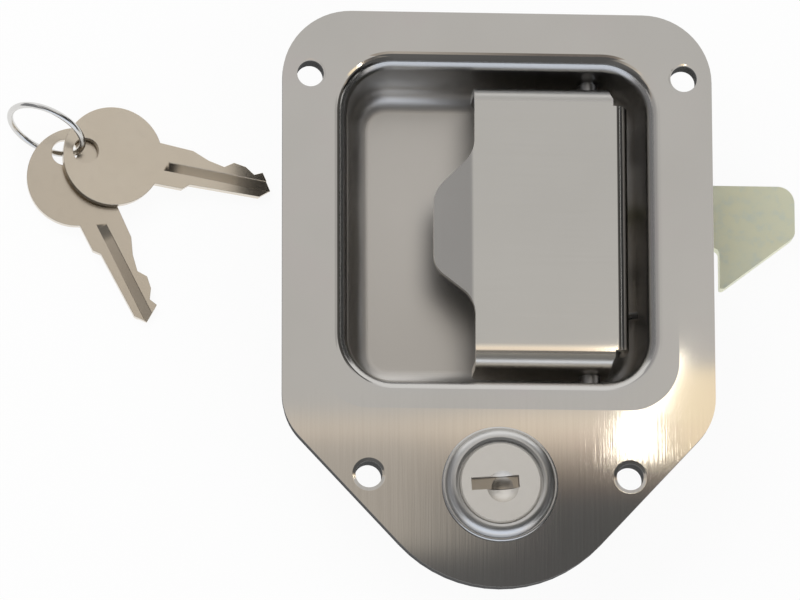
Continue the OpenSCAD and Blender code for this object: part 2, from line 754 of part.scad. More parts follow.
// One flat key: bow at the origin, blade along X, face up
module key() {
    shoulder = [9, 16.5];
    shoulder_w = [-4.1, 4.8];
    blade_low = -2.9;
    groove_w = 2;
    groove_deep = 0.55;
    groove_lean = 6;
    scoop_r = 14;
    difference() {
        union() {
            cylinder(d = bow_d, h = key_t);
            linear_extrude(key_t) polygon([[8, shoulder_w[0]], [shoulder[1] - 1, shoulder_w[0]],
                [shoulder[1] + 0.4, blade_low], [key_l - 2.2, blade_low + 0.3], [key_l, -0.8], [key_l - 2.3, 2.7],
                [key_l - 4, 1.9], [key_l - 6, 3.2], [key_l - 8.6, 3.6], [key_l - 10.5, 2.3],
                [key_l - 14, 3], [shoulder[1], shoulder_w[1] - 0.4], [8, shoulder_w[1]]]);
        }
        translate([bow_hole_x, 0, -1]) cylinder(d = bow_hole_d, h = key_t + 2);
        translate([shoulder[0] + 6, 0, key_t - groove_deep]) rotate([groove_lean, 0, 0]) {
            translate([0, -groove_w / 2, 0]) cube([key_l, groove_w, key_t]);
            translate([0, groove_w / 2, scoop_r]) rotate([90, 0, 0]) cylinder(r = scoop_r, h = groove_w);
        }
        translate([shoulder[0] + 4, blade_low + 0.9, -key_t + groove_deep]) cube([key_l, groove_w, key_t]);
    }
}

// A key that lies with its tip on the table and its bow raised by a tilt
module lying_key(at, turn, tilt) {
    translate([at.x, at.y, table_z]) rotate(turn) translate([key_l, 0, 0]) rotate([0, tilt, 0])
        translate([-key_l, 0, 0]) key();
}

module key_front() {
    color("#b9ad9d") lying_key(front_bow, front_turn, front_tilt);
}

module key_rear() {
    color("#b9ad9d") lying_key(rear_bow, rear_turn, rear_tilt);
}

module key_ring() {
    color("silver") translate(ring_at) rotate(ring_turn) rotate([ring_tilt, 0, 0]) rotate_extrude()
        translate([ring_d / 2, 0]) circle(d = ring_wire);
}

pan();
flange_gasket();
paddle();
drive_arm();
hinge_pin();
pin_spacers();
pin_push_nut();
paddle_spring();
bolt();
bolt_spring();
bolt_case();
case_rivets();
lock_body();
lock_plug();
keyway_shutter();
lock_washer();
lock_nut();
lock_cam();
cam_washer();
cam_screw();
key_front();
key_rear();
key_ring();
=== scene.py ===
# %% [markdown]
# A flush paddle latch for the lid of a toolbox lies on its back on a white table, with its two keys on a
# wire ring beside it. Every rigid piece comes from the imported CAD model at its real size, in metres. This
# lesson adds what CAD leaves out: the finish of each metal, round spring wire, the thread on the lock,
# soft rims on cut edges, and a studio that makes polished steel look like steel.

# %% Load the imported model
import json
import math

import bpy
from mathutils import Matrix, Vector

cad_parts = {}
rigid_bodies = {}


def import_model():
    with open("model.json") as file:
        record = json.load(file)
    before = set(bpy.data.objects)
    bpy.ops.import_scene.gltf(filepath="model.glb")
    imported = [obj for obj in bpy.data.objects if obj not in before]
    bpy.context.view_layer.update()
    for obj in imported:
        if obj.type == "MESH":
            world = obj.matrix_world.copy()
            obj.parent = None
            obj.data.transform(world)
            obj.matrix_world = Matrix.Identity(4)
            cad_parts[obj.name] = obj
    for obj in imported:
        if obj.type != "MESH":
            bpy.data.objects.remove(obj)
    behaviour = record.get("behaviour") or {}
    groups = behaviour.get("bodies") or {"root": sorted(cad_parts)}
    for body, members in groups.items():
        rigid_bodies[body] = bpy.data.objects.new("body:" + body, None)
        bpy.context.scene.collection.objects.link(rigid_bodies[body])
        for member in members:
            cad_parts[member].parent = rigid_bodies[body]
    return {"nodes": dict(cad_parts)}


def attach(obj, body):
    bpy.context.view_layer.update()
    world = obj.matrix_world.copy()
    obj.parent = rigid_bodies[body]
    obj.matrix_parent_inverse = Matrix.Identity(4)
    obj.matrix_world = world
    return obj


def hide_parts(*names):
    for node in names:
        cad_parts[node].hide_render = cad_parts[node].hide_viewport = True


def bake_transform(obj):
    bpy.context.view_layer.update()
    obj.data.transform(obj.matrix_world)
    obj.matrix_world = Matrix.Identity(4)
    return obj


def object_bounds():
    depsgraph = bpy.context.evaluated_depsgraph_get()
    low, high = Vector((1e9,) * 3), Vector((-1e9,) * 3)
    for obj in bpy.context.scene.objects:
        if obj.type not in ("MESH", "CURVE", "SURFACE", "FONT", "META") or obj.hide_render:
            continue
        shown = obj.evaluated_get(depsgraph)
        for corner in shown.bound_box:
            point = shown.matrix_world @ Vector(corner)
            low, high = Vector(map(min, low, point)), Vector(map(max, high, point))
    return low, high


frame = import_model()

MM = 0.001
node = frame["nodes"]
cad_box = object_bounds()
print("CAD nodes:", len(node))

# %% [markdown]
# The camera stands far away and looks down at the plate, a little from the left and a little from below, as
# in the photograph. A long lens from far off keeps the plate's sides straight. The camera's up direction is
# the plate's own up direction, so its matrix is built from three axes instead of a tracking constraint.

# %% Camera
LEAN_LEFT = math.radians(4)
LEAN_DOWN = math.radians(13)
ROLL = math.radians(-0.15)
CAMERA_DISTANCE = 1.36
AIM = Vector((-20.3, -16.5, 4.6)) * MM
LENS_MM = 299

to_camera = Vector((-math.tan(LEAN_LEFT), -math.tan(LEAN_DOWN), 1)).normalized()
camera_right = Vector((0, 1, 0)).cross(to_camera).normalized()
camera_up = to_camera.cross(camera_right)
camera_turn = Matrix((camera_right, camera_up, to_camera)).transposed() @ Matrix.Rotation(ROLL, 3, "Z")
bpy.ops.object.select_all(action="DESELECT")
bpy.ops.object.camera_add(location=AIM + CAMERA_DISTANCE * to_camera, rotation=camera_turn.to_euler())
camera = bpy.context.object
camera.data.lens = LENS_MM
bpy.context.scene.camera = camera
bpy.context.scene.view_settings.view_transform = "Standard"
print("Camera at", [round(v, 3) for v in camera.location])

# %% [markdown]
# The world is a white room. Light Path tells which kind of ray asks: the camera and the mirror-like metals
# see plain white, while the light that falls on matt surfaces is weaker, so that a colour renders about as it
# is written and nothing pale burns out.

# %% White world
WORLD_LIGHT = 0.5

world = bpy.data.worlds.new("white_room")
bpy.context.scene.world = world
world.use_nodes = True


def seen_directly(tree):
    """Puts nodes in a tree that give 1 to camera, glossy and transmission rays, and 0 to the rest."""
    path = tree.nodes.new("ShaderNodeLightPath")
    first = tree.nodes.new("ShaderNodeMath")
    first.operation = "MAXIMUM"
    tree.links.new(path.outputs["Is Camera Ray"], first.inputs[0])
    tree.links.new(path.outputs["Is Glossy Ray"], first.inputs[1])
    both = tree.nodes.new("ShaderNodeMath")
    both.operation = "MAXIMUM"
    tree.links.new(first.outputs[0], both.inputs[0])
    tree.links.new(path.outputs["Is Transmission Ray"], both.inputs[1])
    return both.outputs[0]


room = world.node_tree
strength = room.nodes.new("ShaderNodeMapRange")
strength.inputs["To Min"].default_value = WORLD_LIGHT
strength.inputs["To Max"].default_value = 1.0
room.links.new(seen_directly(room), strength.inputs["Value"])
room.links.new(strength.outputs["Result"], room.nodes["Background"].inputs["Strength"])
room.nodes["Background"].inputs["Color"].default_value = (1, 1, 1, 1)
print("World light on matt surfaces:", WORLD_LIGHT)

# %% [markdown]
# The table is one large plane under the lowest piece. Most of what the camera sees of it is its own white, so
# that the background stays white, and a small share is ordinary matt paint, which keeps a soft contact
# shadow under the latch and the keys.

# %% Table
OWN_WHITE = 0.93
PAINT = (0.93, 0.93, 0.93, 1)
PAINT_ROUGHNESS = 0.9
TABLE_SIZE = 6
TABLE_GAP = 0.02 * MM

table_z = cad_box[0][2] - TABLE_GAP
bpy.ops.object.select_all(action="DESELECT")
bpy.ops.mesh.primitive_plane_add(size=TABLE_SIZE, location=(0, 0, table_z))
table = bpy.context.object
table.name = "table_top"
paint = bpy.data.materials.new("white_table_paint")
paint.use_nodes = True
tree = paint.node_tree
tree.nodes["Principled BSDF"].inputs["Base Color"].default_value = PAINT
tree.nodes["Principled BSDF"].inputs["Roughness"].default_value = PAINT_ROUGHNESS
glow = tree.nodes.new("ShaderNodeEmission")
glow.inputs["Color"].default_value = (1, 1, 1, 1)
share = tree.nodes.new("ShaderNodeMath")
share.operation = "MULTIPLY"
share.inputs[1].default_value = OWN_WHITE
tree.links.new(seen_directly(tree), share.inputs[0])
blend_paint = tree.nodes.new("ShaderNodeMixShader")
tree.links.new(share.outputs[0], blend_paint.inputs["Fac"])
tree.links.new(tree.nodes["Principled BSDF"].outputs["BSDF"], blend_paint.inputs[1])
tree.links.new(glow.outputs["Emission"], blend_paint.inputs[2])
tree.links.new(blend_paint.outputs["Shader"], tree.nodes["Material Output"].inputs["Surface"])
table.data.materials.append(paint)
print("Table at", round(table_z / MM, 2), "mm")

# %% [markdown]
# Bright steel has hardly any colour of its own: it shows the room. In the photograph the flat plate mirrors a
# grey ceiling, the edge of a warm lamp and a dark room behind the photographer. Here these are cards that
# only mirror-like rays can see: they hang above the latch, out of the camera's sight, and cast no shadow. The
# ceiling is one card with two colour ramps from front to back, one for the lamp's side on the right and one
# for the plain side on the left. A mask mixes them, and a third ramp dims the far left and the far right.

# %% Cards for the steel to mirror
UPRIGHT = math.radians(90)


def mirror_card(name, size, centre, turn=(0, 0, 0), colour=(1, 1, 1)):
    """Hangs a glowing card that only glossy rays see; size and centre are in millimetres."""
    bpy.ops.object.select_all(action="DESELECT")
    bpy.ops.mesh.primitive_plane_add(size=MM, location=Vector(centre) * MM, rotation=turn)
    card = bpy.context.object
    card.name = name
    card.scale = (size[0], size[1], 1)
    bpy.ops.object.transform_apply(location=False, rotation=False, scale=True)
    lit = bpy.data.materials.new(name + "_light")
    lit.use_nodes = True
    emission = lit.node_tree.nodes.new("ShaderNodeEmission")
    emission.inputs["Color"].default_value = (*colour, 1)
    lit.node_tree.links.new(emission.outputs[0], lit.node_tree.nodes["Material Output"].inputs["Surface"])
    card.data.materials.append(lit)
    card.visible_camera = False
    card.visible_diffuse = False
    card.visible_transmission = False
    card.visible_shadow = False
    return lit.node_tree, emission


def glow_ramp(tree, value, stops):
    """A colour ramp from the first stop to the last; stops are (millimetres, colour)."""
    low = stops[0][0]
    high = stops[-1][0]
    spread = tree.nodes.new("ShaderNodeMapRange")
    spread.inputs["From Min"].default_value = low * MM
    spread.inputs["From Max"].default_value = high * MM
    tree.links.new(value, spread.inputs["Value"])
    ramp = tree.nodes.new("ShaderNodeValToRGB")
    marks = ramp.color_ramp.elements
    while len(marks) < len(stops):
        marks.new(0.5)
    for mark, (place_mm, colour) in zip(marks, stops):
        mark.position = (place_mm - low) / (high - low)
        mark.color = (*colour, 1)
    tree.links.new(spread.outputs["Result"], ramp.inputs["Fac"])
    return ramp.outputs["Color"]


CEILING = 430
HALF = 450
LAMP_SLANT = 0.03
MIDDLE_TONE = 0.7
CEILING_GLOW = 2

tree, emission = mirror_card("studio_ceiling", (2 * HALF, 2 * HALF), (0, 0, CEILING))
seat = tree.nodes.new("ShaderNodeTexCoord")
parts = tree.nodes.new("ShaderNodeSeparateXYZ")
tree.links.new(seat.outputs["Object"], parts.inputs[0])


def slanted(slant):
    """Depth on the ceiling, measured square to a line that climbs by slant to the right."""
    item = tree.nodes.new("ShaderNodeMath")
    item.operation = "MULTIPLY_ADD"
    item.inputs[1].default_value = -slant
    tree.links.new(parts.outputs["X"], item.inputs[0])
    tree.links.new(parts.outputs["Y"], item.inputs[2])
    return item.outputs[0]


def joined(first, second, blend, factor=None):
    """Mixes or multiplies two colours on the ceiling, fully or by a mask."""
    item = tree.nodes.new("ShaderNodeMix")
    item.data_type = "RGBA"
    item.blend_type = blend
    item.inputs["Factor"].default_value = 1.0
    if factor is not None:
        tree.links.new(factor, item.inputs["Factor"])
    tree.links.new(first, item.inputs[6])
    tree.links.new(second, item.inputs[7])
    return item.outputs[2]


def grey(value):
    """A colour with three equal parts."""
    return (value, value, value)


lamp_side = glow_ramp(tree, slanted(LAMP_SLANT), [
    (-HALF, grey(0.064)), (16, grey(0.064)), (25, grey(0.07)), (29, (0.109, 0.092, 0.085)),
    (33.2, (0.179, 0.156, 0.13)), (38.8, (0.357, 0.304, 0.256)), (43.2, (0.545, 0.467, 0.379)),
    (47, (0.6, 0.525, 0.435)), (50.5, (0.52, 0.46, 0.38)), (51.5, (0.37, 0.363, 0.352)),
    (HALF, grey(0.36))])
plain_side = glow_ramp(tree, slanted(LAMP_SLANT), [
    (-HALF, grey(0.075)), (9, grey(0.085)), (15, (0.315, 0.29, 0.258)), (41, (0.326, 0.30, 0.268)),
    (46.5, (0.5, 0.44, 0.375)), (50.5, (0.4, 0.375, 0.34)), (51.5, (0.37, 0.363, 0.352)),
    (HALF, grey(0.36))])
to_the_right = glow_ramp(tree, parts.outputs["X"], [
    (-HALF, grey(0.0)), (8, grey(0.0)), (46, grey(1.0)), (HALF, grey(1.0))])
left_to_right = glow_ramp(tree, parts.outputs["X"], [
    (-HALF, (0.42, 0.42, 0.43)), (-160, (0.45, 0.45, 0.46)), (-60, grey(MIDDLE_TONE)),
    (150, grey(MIDDLE_TONE)), (185, (0.1, 0.097, 0.094)), (HALF, grey(0.06))])
both_sides = joined(plain_side, lamp_side, "MIX", to_the_right)
tree.links.new(joined(both_sides, left_to_right, "MULTIPLY"), emission.inputs["Color"])
emission.inputs["Strength"].default_value = CEILING_GLOW / MIDDLE_TONE

TAIL_TURN = math.radians(-22)
LAMP_CARD_Z = CEILING - 4
WALL_CARD_Z = CEILING - 2
SIDE_SIZE = (900, 440)
SIDE_X = 480
SIDE_Z = 200
SIDE_TURN = (UPRIGHT, 0, UPRIGHT)

mirror_card("warm_lamp", (4.5, 13), (73, 44, LAMP_CARD_Z), colour=(12.0, 11.0, 9.2))
mirror_card("warm_lamp_tail", (2.5, 18), (81.5, 58.5, LAMP_CARD_Z), (0, 0, TAIL_TURN), (6.0, 5.4, 4.5))
mirror_card("warm_wall", (18, 25), (91, 51, WALL_CARD_Z), colour=(1.42, 1.2, 0.86))
mirror_card("low_window", (1100, 620), (-100, -700, 340), (UPRIGHT, 0, 0), (0.9, 0.98, 1.12))
mirror_card("dark_right_side", SIDE_SIZE, (SIDE_X, 0, SIDE_Z), SIDE_TURN, grey(0.06))
mirror_card("dim_left_side", SIDE_SIZE, (-SIDE_X, 0, SIDE_Z), SIDE_TURN, (0.25, 0.25, 0.26))
print("The ceiling hangs at", CEILING, "mm")

# %% [markdown]
# Two soft lamps light the matt surfaces: the rubber, the plating in the shade and the table. The steel
# doesn't mirror them, because the cards already give it all it should show.

# %% Soft lamps
LAMP_SIZE = 0.9


def soft_lamp(name, location, watts):
    """Hangs a square lamp that faces the latch and is not mirrored in it."""
    bpy.ops.object.select_all(action="DESELECT")
    bpy.ops.object.light_add(type="AREA", location=location)
    lamp = bpy.context.object
    lamp.name = name
    lamp.data.size = LAMP_SIZE
    lamp.data.energy = watts
    lamp.rotation_euler = (-Vector(location)).to_track_quat("-Z", "Y").to_euler()
    lamp.visible_camera = False
    lamp.visible_glossy = False
    print(name, "of", watts, "W")


soft_lamp("lamp_upper_left", (-0.5, 0.5, 1.0), 6.0)
soft_lamp("lamp_lower_right", (0.5, -0.6, 0.9), 2.5)

# %% [markdown]
# Every metal here needs the same two effects: a cloud, which is the slow change of tone over a hand-sized
# sheet, and grain, which is the fine lines left by rolling or brushing. Each is a node group with named
# sockets, built once and placed in each material with its own values.

# %% Node groups for cloud and grain
def new_group(name, inputs, outputs):
    """Makes a shader node group; inputs maps names to a socket type and value, outputs lists names."""
    group = bpy.data.node_groups.new(name, "ShaderNodeTree")
    for label, (kind, value) in inputs.items():
        socket = group.interface.new_socket(label, in_out="INPUT", socket_type=kind)
        if value is not None:
            socket.default_value = value
    for label, kind in outputs.items():
        group.interface.new_socket(label, in_out="OUTPUT", socket_type=kind)
    start = group.nodes.new("NodeGroupInput")
    end = group.nodes.new("NodeGroupOutput")
    return group, start, end


FLOAT = "NodeSocketFloat"
VECTOR = "NodeSocketVector"
MIDDLE = 0.5

cloud_group, start, end = new_group(
    "tone_cloud",
    {"Vector": (VECTOR, None), "Scale": (FLOAT, 40.0), "Contrast": (FLOAT, 1.0)},
    {"Cloud": FLOAT},
)
noise = cloud_group.nodes.new("ShaderNodeTexNoise")
noise.inputs["Detail"].default_value = 3.0
noise.inputs["Roughness"].default_value = 0.55
centred = cloud_group.nodes.new("ShaderNodeMath")
centred.operation = "SUBTRACT"
centred.inputs[1].default_value = MIDDLE
gain = cloud_group.nodes.new("ShaderNodeMath")
gain.operation = "MULTIPLY_ADD"
gain.inputs[2].default_value = MIDDLE
gain.use_clamp = True
links = cloud_group.links
links.new(start.outputs["Vector"], noise.inputs["Vector"])
links.new(start.outputs["Scale"], noise.inputs["Scale"])
links.new(noise.outputs["Fac"], centred.inputs[0])
links.new(centred.outputs[0], gain.inputs[0])
links.new(start.outputs["Contrast"], gain.inputs[1])
links.new(gain.outputs[0], end.inputs["Cloud"])

grain_group, start, end = new_group(
    "metal_grain",
    {"Vector": (VECTOR, None), "Lines per metre": (FLOAT, 2500.0), "Direction": (VECTOR, (1.0, 0.03, 1.0))},
    {"Lines": FLOAT},
)
squeeze = grain_group.nodes.new("ShaderNodeVectorMath")
squeeze.operation = "MULTIPLY"
lines = grain_group.nodes.new("ShaderNodeTexNoise")
lines.inputs["Detail"].default_value = 4.0
lines.inputs["Roughness"].default_value = 0.65
links = grain_group.links
links.new(start.outputs["Vector"], squeeze.inputs[0])
links.new(start.outputs["Direction"], squeeze.inputs[1])
links.new(squeeze.outputs["Vector"], lines.inputs["Vector"])
links.new(start.outputs["Lines per metre"], lines.inputs["Scale"])
links.new(lines.outputs["Fac"], end.inputs["Lines"])
print("Groups:", cloud_group.name, grain_group.name)

# %% [markdown]
# A material is a small graph, and most graphs here share the same start: a Principled shader, Object
# coordinates, which stay with the piece when it moves, and one cloud that mixes two tones of the base colour.

# %% Helpers for materials
def set_inputs(item, values):
    for label, value in values.items():
        item.inputs[label].default_value = value
    return item


class Finish:
    """A new material with a Principled shader, Object coordinates and short calls that add nodes."""

    def __init__(self, name, metallic, roughness):
        self.material = bpy.data.materials.new(name)
        self.material.use_nodes = True
        self.nodes = self.material.node_tree.nodes
        self.links = self.material.node_tree.links
        self.shader = self.nodes["Principled BSDF"]
        set_inputs(self.shader, {"Metallic": metallic, "Roughness": roughness})
        coordinates = self.nodes.new("ShaderNodeTexCoord")
        self.place = coordinates.outputs["Object"]
        self.normal = coordinates.outputs["Normal"]

    def group(self, group, values):
        item = self.nodes.new("ShaderNodeGroup")
        item.node_tree = group
        self.links.new(self.place, item.inputs["Vector"])
        return set_inputs(item, values)

    def math(self, operation, first, second=None, third=None):
        item = self.nodes.new("ShaderNodeMath")
        item.operation = operation
        for slot, value in zip(item.inputs, (first, second, third)):
            if isinstance(value, (int, float)):
                slot.default_value = value
            elif value is not None:
                self.links.new(value, slot)
        return item.outputs[0]

    def ramp(self, value, from_low, from_high, to_low, to_high, smooth=True):
        item = self.nodes.new("ShaderNodeMapRange")
        item.interpolation_type = "SMOOTHSTEP" if smooth else "LINEAR"
        set_inputs(item, {"From Min": from_low, "From Max": from_high, "To Min": to_low, "To Max": to_high})
        self.links.new(value, item.inputs["Value"])
        return item.outputs["Result"]

    def mix(self, factor, first, second):
        item = self.nodes.new("ShaderNodeMix")
        item.data_type = "RGBA"
        self.links.new(factor, item.inputs["Factor"])
        for slot, value in zip((item.inputs[6], item.inputs[7]), (first, second)):
            if isinstance(value, tuple):
                slot.default_value = (*value, 1)
            else:
                self.links.new(value, slot)
        return item.outputs[2]

    def bump(self, height, distance, strength=1.0):
        item = self.nodes.new("ShaderNodeBump")
        set_inputs(item, {"Strength": strength, "Distance": distance})
        self.links.new(height, item.inputs["Height"])
        self.links.new(item.outputs["Normal"], self.shader.inputs["Normal"])

    def feed(self, label, value):
        self.links.new(value, self.shader.inputs[label])


def dress(finish, *names):
    """Puts a finish on CAD nodes, in every material slot that they have."""
    for name in names:
        for slot in node[name].material_slots:
            slot.material = finish.material
    print(finish.material.name, "on", ", ".join(names))


# %% [markdown]
# The plate is one stainless sheet. The flange round the dish is smooth and grey, the dish's floor is matt
# where the punch pressed it, and the lower point was brushed up and down with a belt. One material does all
# three: its roughness and its lines follow the place on the plate. The press also leaves the sheet leaning a
# little round the lip and rolls the rims of the holes. Both are far thinner than the sheet, so a bump is
# enough.

# %% Stainless plate
RING_STRAIGHT = (26.55 * MM, 28.55 * MM)
RING_CORNER = 8.7 * MM
RING_START = -2.1 * MM
RING_END = 1.8 * MM
RING_SLOPE = 0.03
HOLES = ((38.65, 31.2), (26.7, -52.9))
HOLE_ROLL = (2.6 * MM, 3.5 * MM)
HOLE_ROLL_HEIGHT = 0.07 * MM
BRUSHED_Y = (-32 * MM, -52 * MM)
BRUSHED_DEPTH = 0.005 * MM
LIP_Z = (4.55 * MM, 3.6 * MM)
DISH_FLOOR_Z = (-7 * MM, -12 * MM)
DARK_EDGE_Z = (2.6 * MM, 2.95 * MM)

plate = Finish("drawn_stainless", 1.0, 0.15)
place = plate.nodes.new("ShaderNodeSeparateXYZ")
plate.links.new(plate.place, place.inputs[0])
brushed_zone = plate.ramp(place.outputs["Y"], *BRUSHED_Y, 0.0, 1.0)
lip_and_wall = plate.ramp(place.outputs["Z"], *LIP_Z, 0.0, 1.0)
dish_floor = plate.ramp(place.outputs["Z"], *DISH_FLOOR_Z, 0.0, 1.0)
cloud = plate.group(cloud_group, {"Scale": 30.0, "Contrast": 1.4}).outputs["Cloud"]
blush = plate.group(cloud_group, {"Scale": 55.0, "Contrast": 2.0}).outputs["Cloud"]
lines = plate.group(
    grain_group, {"Lines per metre": 2000.0, "Direction": (1.0, 0.02, 1.0)}
).outputs["Lines"]
tone = plate.mix(cloud, (0.555, 0.54, 0.515), (0.615, 0.60, 0.575))
tone = plate.mix(plate.ramp(blush, 0.5, 1.0, 0.0, 0.5), tone, (0.59, 0.55, 0.54))
line_tone = plate.math("MULTIPLY", plate.ramp(lines, 0.35, 0.65, 0.0, 0.25), brushed_zone)
tone = plate.mix(line_tone, tone, (0.45, 0.43, 0.40))
facing = plate.nodes.new("ShaderNodeSeparateXYZ")
plate.links.new(plate.normal, facing.inputs[0])
edge_on = plate.ramp(plate.math("ABSOLUTE", facing.outputs["Z"]), 0.15, 0.35, 1.0, 0.0)
near_the_face = plate.ramp(place.outputs["Z"], *DARK_EDGE_Z, 0.0, 1.0)
# Painted shade: the cut edge of the sheet next to the front face is given a near-black colour for the dark it
# mirrors, and it is also made rougher.
cut_edge_painted_dark = plate.math("MULTIPLY", edge_on, near_the_face)
tone = plate.mix(dish_floor, tone, plate.mix(cloud, (0.73, 0.70, 0.66), (0.80, 0.77, 0.73)))
plate.feed("Base Color", plate.mix(cut_edge_painted_dark, tone, (0.07, 0.068, 0.066)))
rough = plate.math("MULTIPLY_ADD", lip_and_wall, 0.225, 0.045)
rough = plate.math("MULTIPLY_ADD", dish_floor, 0.1, rough)
rough = plate.math("MULTIPLY_ADD", cloud, 0.02, rough)
plate.feed("Roughness", plate.math("MULTIPLY_ADD", cut_edge_painted_dark, 0.4, rough))


def distance_to(finish, sides):
    """The long side of a right-angled triangle."""
    squares = [finish.math("MULTIPLY", side, side) for side in sides]
    return finish.math("SQRT", finish.math("ADD", *squares))


beyond = []
for axis, half in zip("XY", RING_STRAIGHT):
    from_middle = plate.math("ABSOLUTE", place.outputs[axis])
    beyond.append(plate.math("MAXIMUM", plate.math("SUBTRACT", from_middle, half), 0.0))
from_lip = plate.math("SUBTRACT", distance_to(plate, beyond), RING_CORNER)
height = plate.ramp(from_lip, RING_START, RING_END, 0.0, (RING_END - RING_START) * RING_SLOPE, smooth=False)
for hole_x, hole_y in HOLES:
    across = plate.math("SUBTRACT", plate.math("ABSOLUTE", place.outputs["X"]), hole_x * MM)
    along = plate.math("SUBTRACT", place.outputs["Y"], hole_y * MM)
    rolled = plate.ramp(distance_to(plate, (across, along)), *HOLE_ROLL, 0.0, HOLE_ROLL_HEIGHT)
    height = plate.math("ADD", height, rolled)
brushed = plate.math("MULTIPLY", lines, brushed_zone)
plate.bump(plate.math("MULTIPLY_ADD", brushed, BRUSHED_DEPTH, height), 1.0)
dress(plate, "pan")

# %% [markdown]
# The paddle is bent from the same sheet, smooth, with only a trace of the mill's rolling lines. Its lower
# edge rolls off before the bend, which is where the lamp shows as a bright strip. Along that strip the base
# colour is painted lighter and warmer, as a painted highlight.

# %% Stainless paddle
ROLL_OFF_Y = -23.4 * MM
ROLL_OFF_W = 3.9 * MM
ROLL_OFF_SLOPE = 0.0406
PAINTED_STRIP_Y = (-24.6 * MM, -25.8 * MM)
BEND_Y = (26.2 * MM, 27.2 * MM)
BEND_ROUGHNESS = 0.26

paddle = Finish("rolled_stainless", 1.0, 0.2)
place = paddle.nodes.new("ShaderNodeSeparateXYZ")
paddle.links.new(paddle.place, place.inputs[0])
cloud = paddle.group(cloud_group, {"Scale": 35.0, "Contrast": 1.2}).outputs["Cloud"]
lines = paddle.group(
    grain_group, {"Lines per metre": 1500.0, "Direction": (0.03, 1.0, 1.0)}
).outputs["Lines"]
tone = paddle.mix(cloud, (0.56, 0.548, 0.522), (0.605, 0.592, 0.565))
tone = paddle.mix(paddle.ramp(lines, 0.4, 0.7, 0.0, 0.07), tone, (0.5, 0.48, 0.45))
# Painted highlight: a lighter, warmer base colour on the strip along the lower edge where the lamp shows.
painted_lamp_strip = paddle.ramp(place.outputs["Y"], *PAINTED_STRIP_Y, 0.0, 1.0)
paddle.feed("Base Color", paddle.mix(painted_lamp_strip, tone, (0.88, 0.83, 0.75)))
bends = paddle.ramp(paddle.math("ABSOLUTE", place.outputs["Y"]), *BEND_Y, 0.0, BEND_ROUGHNESS)
flat_rough = paddle.math("MULTIPLY_ADD", cloud, 0.03, 0.07)
paddle.feed("Roughness", paddle.math("ADD", flat_rough, bends))
past = paddle.math("MAXIMUM", paddle.math("SUBTRACT", ROLL_OFF_Y, place.outputs["Y"]), 0.0)
curved = paddle.math("MINIMUM", past, ROLL_OFF_W)
squared = paddle.math("MULTIPLY", curved, curved)
drop = paddle.math("MULTIPLY", squared, -ROLL_OFF_SLOPE / (2 * ROLL_OFF_W))
straight = paddle.math("SUBTRACT", past, curved)
paddle.bump(paddle.math("MULTIPLY_ADD", straight, -ROLL_OFF_SLOPE, drop), 1.0)
dress(paddle, "paddle")

# %% [markdown]
# Zinc plating passivated in a clear dip has a pale bloom: straw yellow, green and blue patches over a grey
# that hardly mirrors anything.

# %% Zinc plating
zinc = Finish("passivated_zinc", 0.6, 0.45)
large = zinc.group(cloud_group, {"Scale": 90.0, "Contrast": 2.2}).outputs["Cloud"]
small = zinc.group(cloud_group, {"Scale": 420.0, "Contrast": 2.0}).outputs["Cloud"]
tone = zinc.mix(large, (0.92, 0.91, 0.67), (0.86, 0.89, 0.71))
zinc.feed("Base Color", zinc.mix(zinc.ramp(small, 0.45, 0.95, 0.0, 0.4), tone, (0.76, 0.84, 0.78)))
zinc.feed("Roughness", zinc.math("MULTIPLY_ADD", small, 0.2, 0.36))
dress(zinc, "bolt", "bolt_case", "drive_arm", "lock_nut", "lock_cam")

# %% [markdown]
# Rubber is nearly black and swallows light; a fine cell pattern breaks what little it mirrors.

# %% Black rubber
CELL_DEPTH = 0.1 * MM
CELL_STRENGTH = 0.5

rubber = Finish("black_rubber", 0.0, 0.7)
cells = rubber.group(cloud_group, {"Scale": 1800.0, "Contrast": 1.5}).outputs["Cloud"]
rubber.feed("Base Color", rubber.mix(cells, (0.012, 0.012, 0.013), (0.03, 0.03, 0.031)))
rubber.bump(cells, CELL_DEPTH, CELL_STRENGTH)
dress(rubber, "flange_gasket")

# %% [markdown]
# The lock's bezel is chrome over a smooth casting, its plug is nickel with a turned face, and the keys are
# nickel over brass, warmer than the steel and specked by use.

# %% Chrome, nickel, keys and bright steel
def clouded_metal(name, metallic, roughness, scale, contrast, tones, cloud_roughness):
    """A metal whose tone and roughness follow one cloud; cloud_roughness is (change, lowest)."""
    finish = Finish(name, metallic, roughness)
    cloud = finish.group(cloud_group, {"Scale": scale, "Contrast": contrast}).outputs["Cloud"]
    finish.feed("Base Color", finish.mix(cloud, *tones))
    finish.feed("Roughness", finish.math("MULTIPLY_ADD", cloud, *cloud_roughness))
    return finish


chrome = clouded_metal("lock_chrome_plate", 1.0, 0.2, 260.0, 1.2,
                       ((0.66, 0.65, 0.63), (0.73, 0.725, 0.71)), (0.08, 0.28))
dress(chrome, "lock_body")
nickel = clouded_metal("plug_nickel", 0.65, 0.4, 300.0, 1.2,
                       ((0.80, 0.765, 0.71), (0.86, 0.825, 0.77)), (0.1, 0.4))
dress(nickel, "lock_plug")
# Painted shade: the shutter is brass, and its tone is darkened further for the shade in the keyway recess
# that it fills.
shutter_brass_shade = clouded_metal("shutter_brass_painted_shade", 1.0, 0.35, 500.0, 1.5,
                           ((0.50, 0.44, 0.36), (0.60, 0.54, 0.46)), (0.1, 0.3))
dress(shutter_brass_shade, "keyway_shutter")

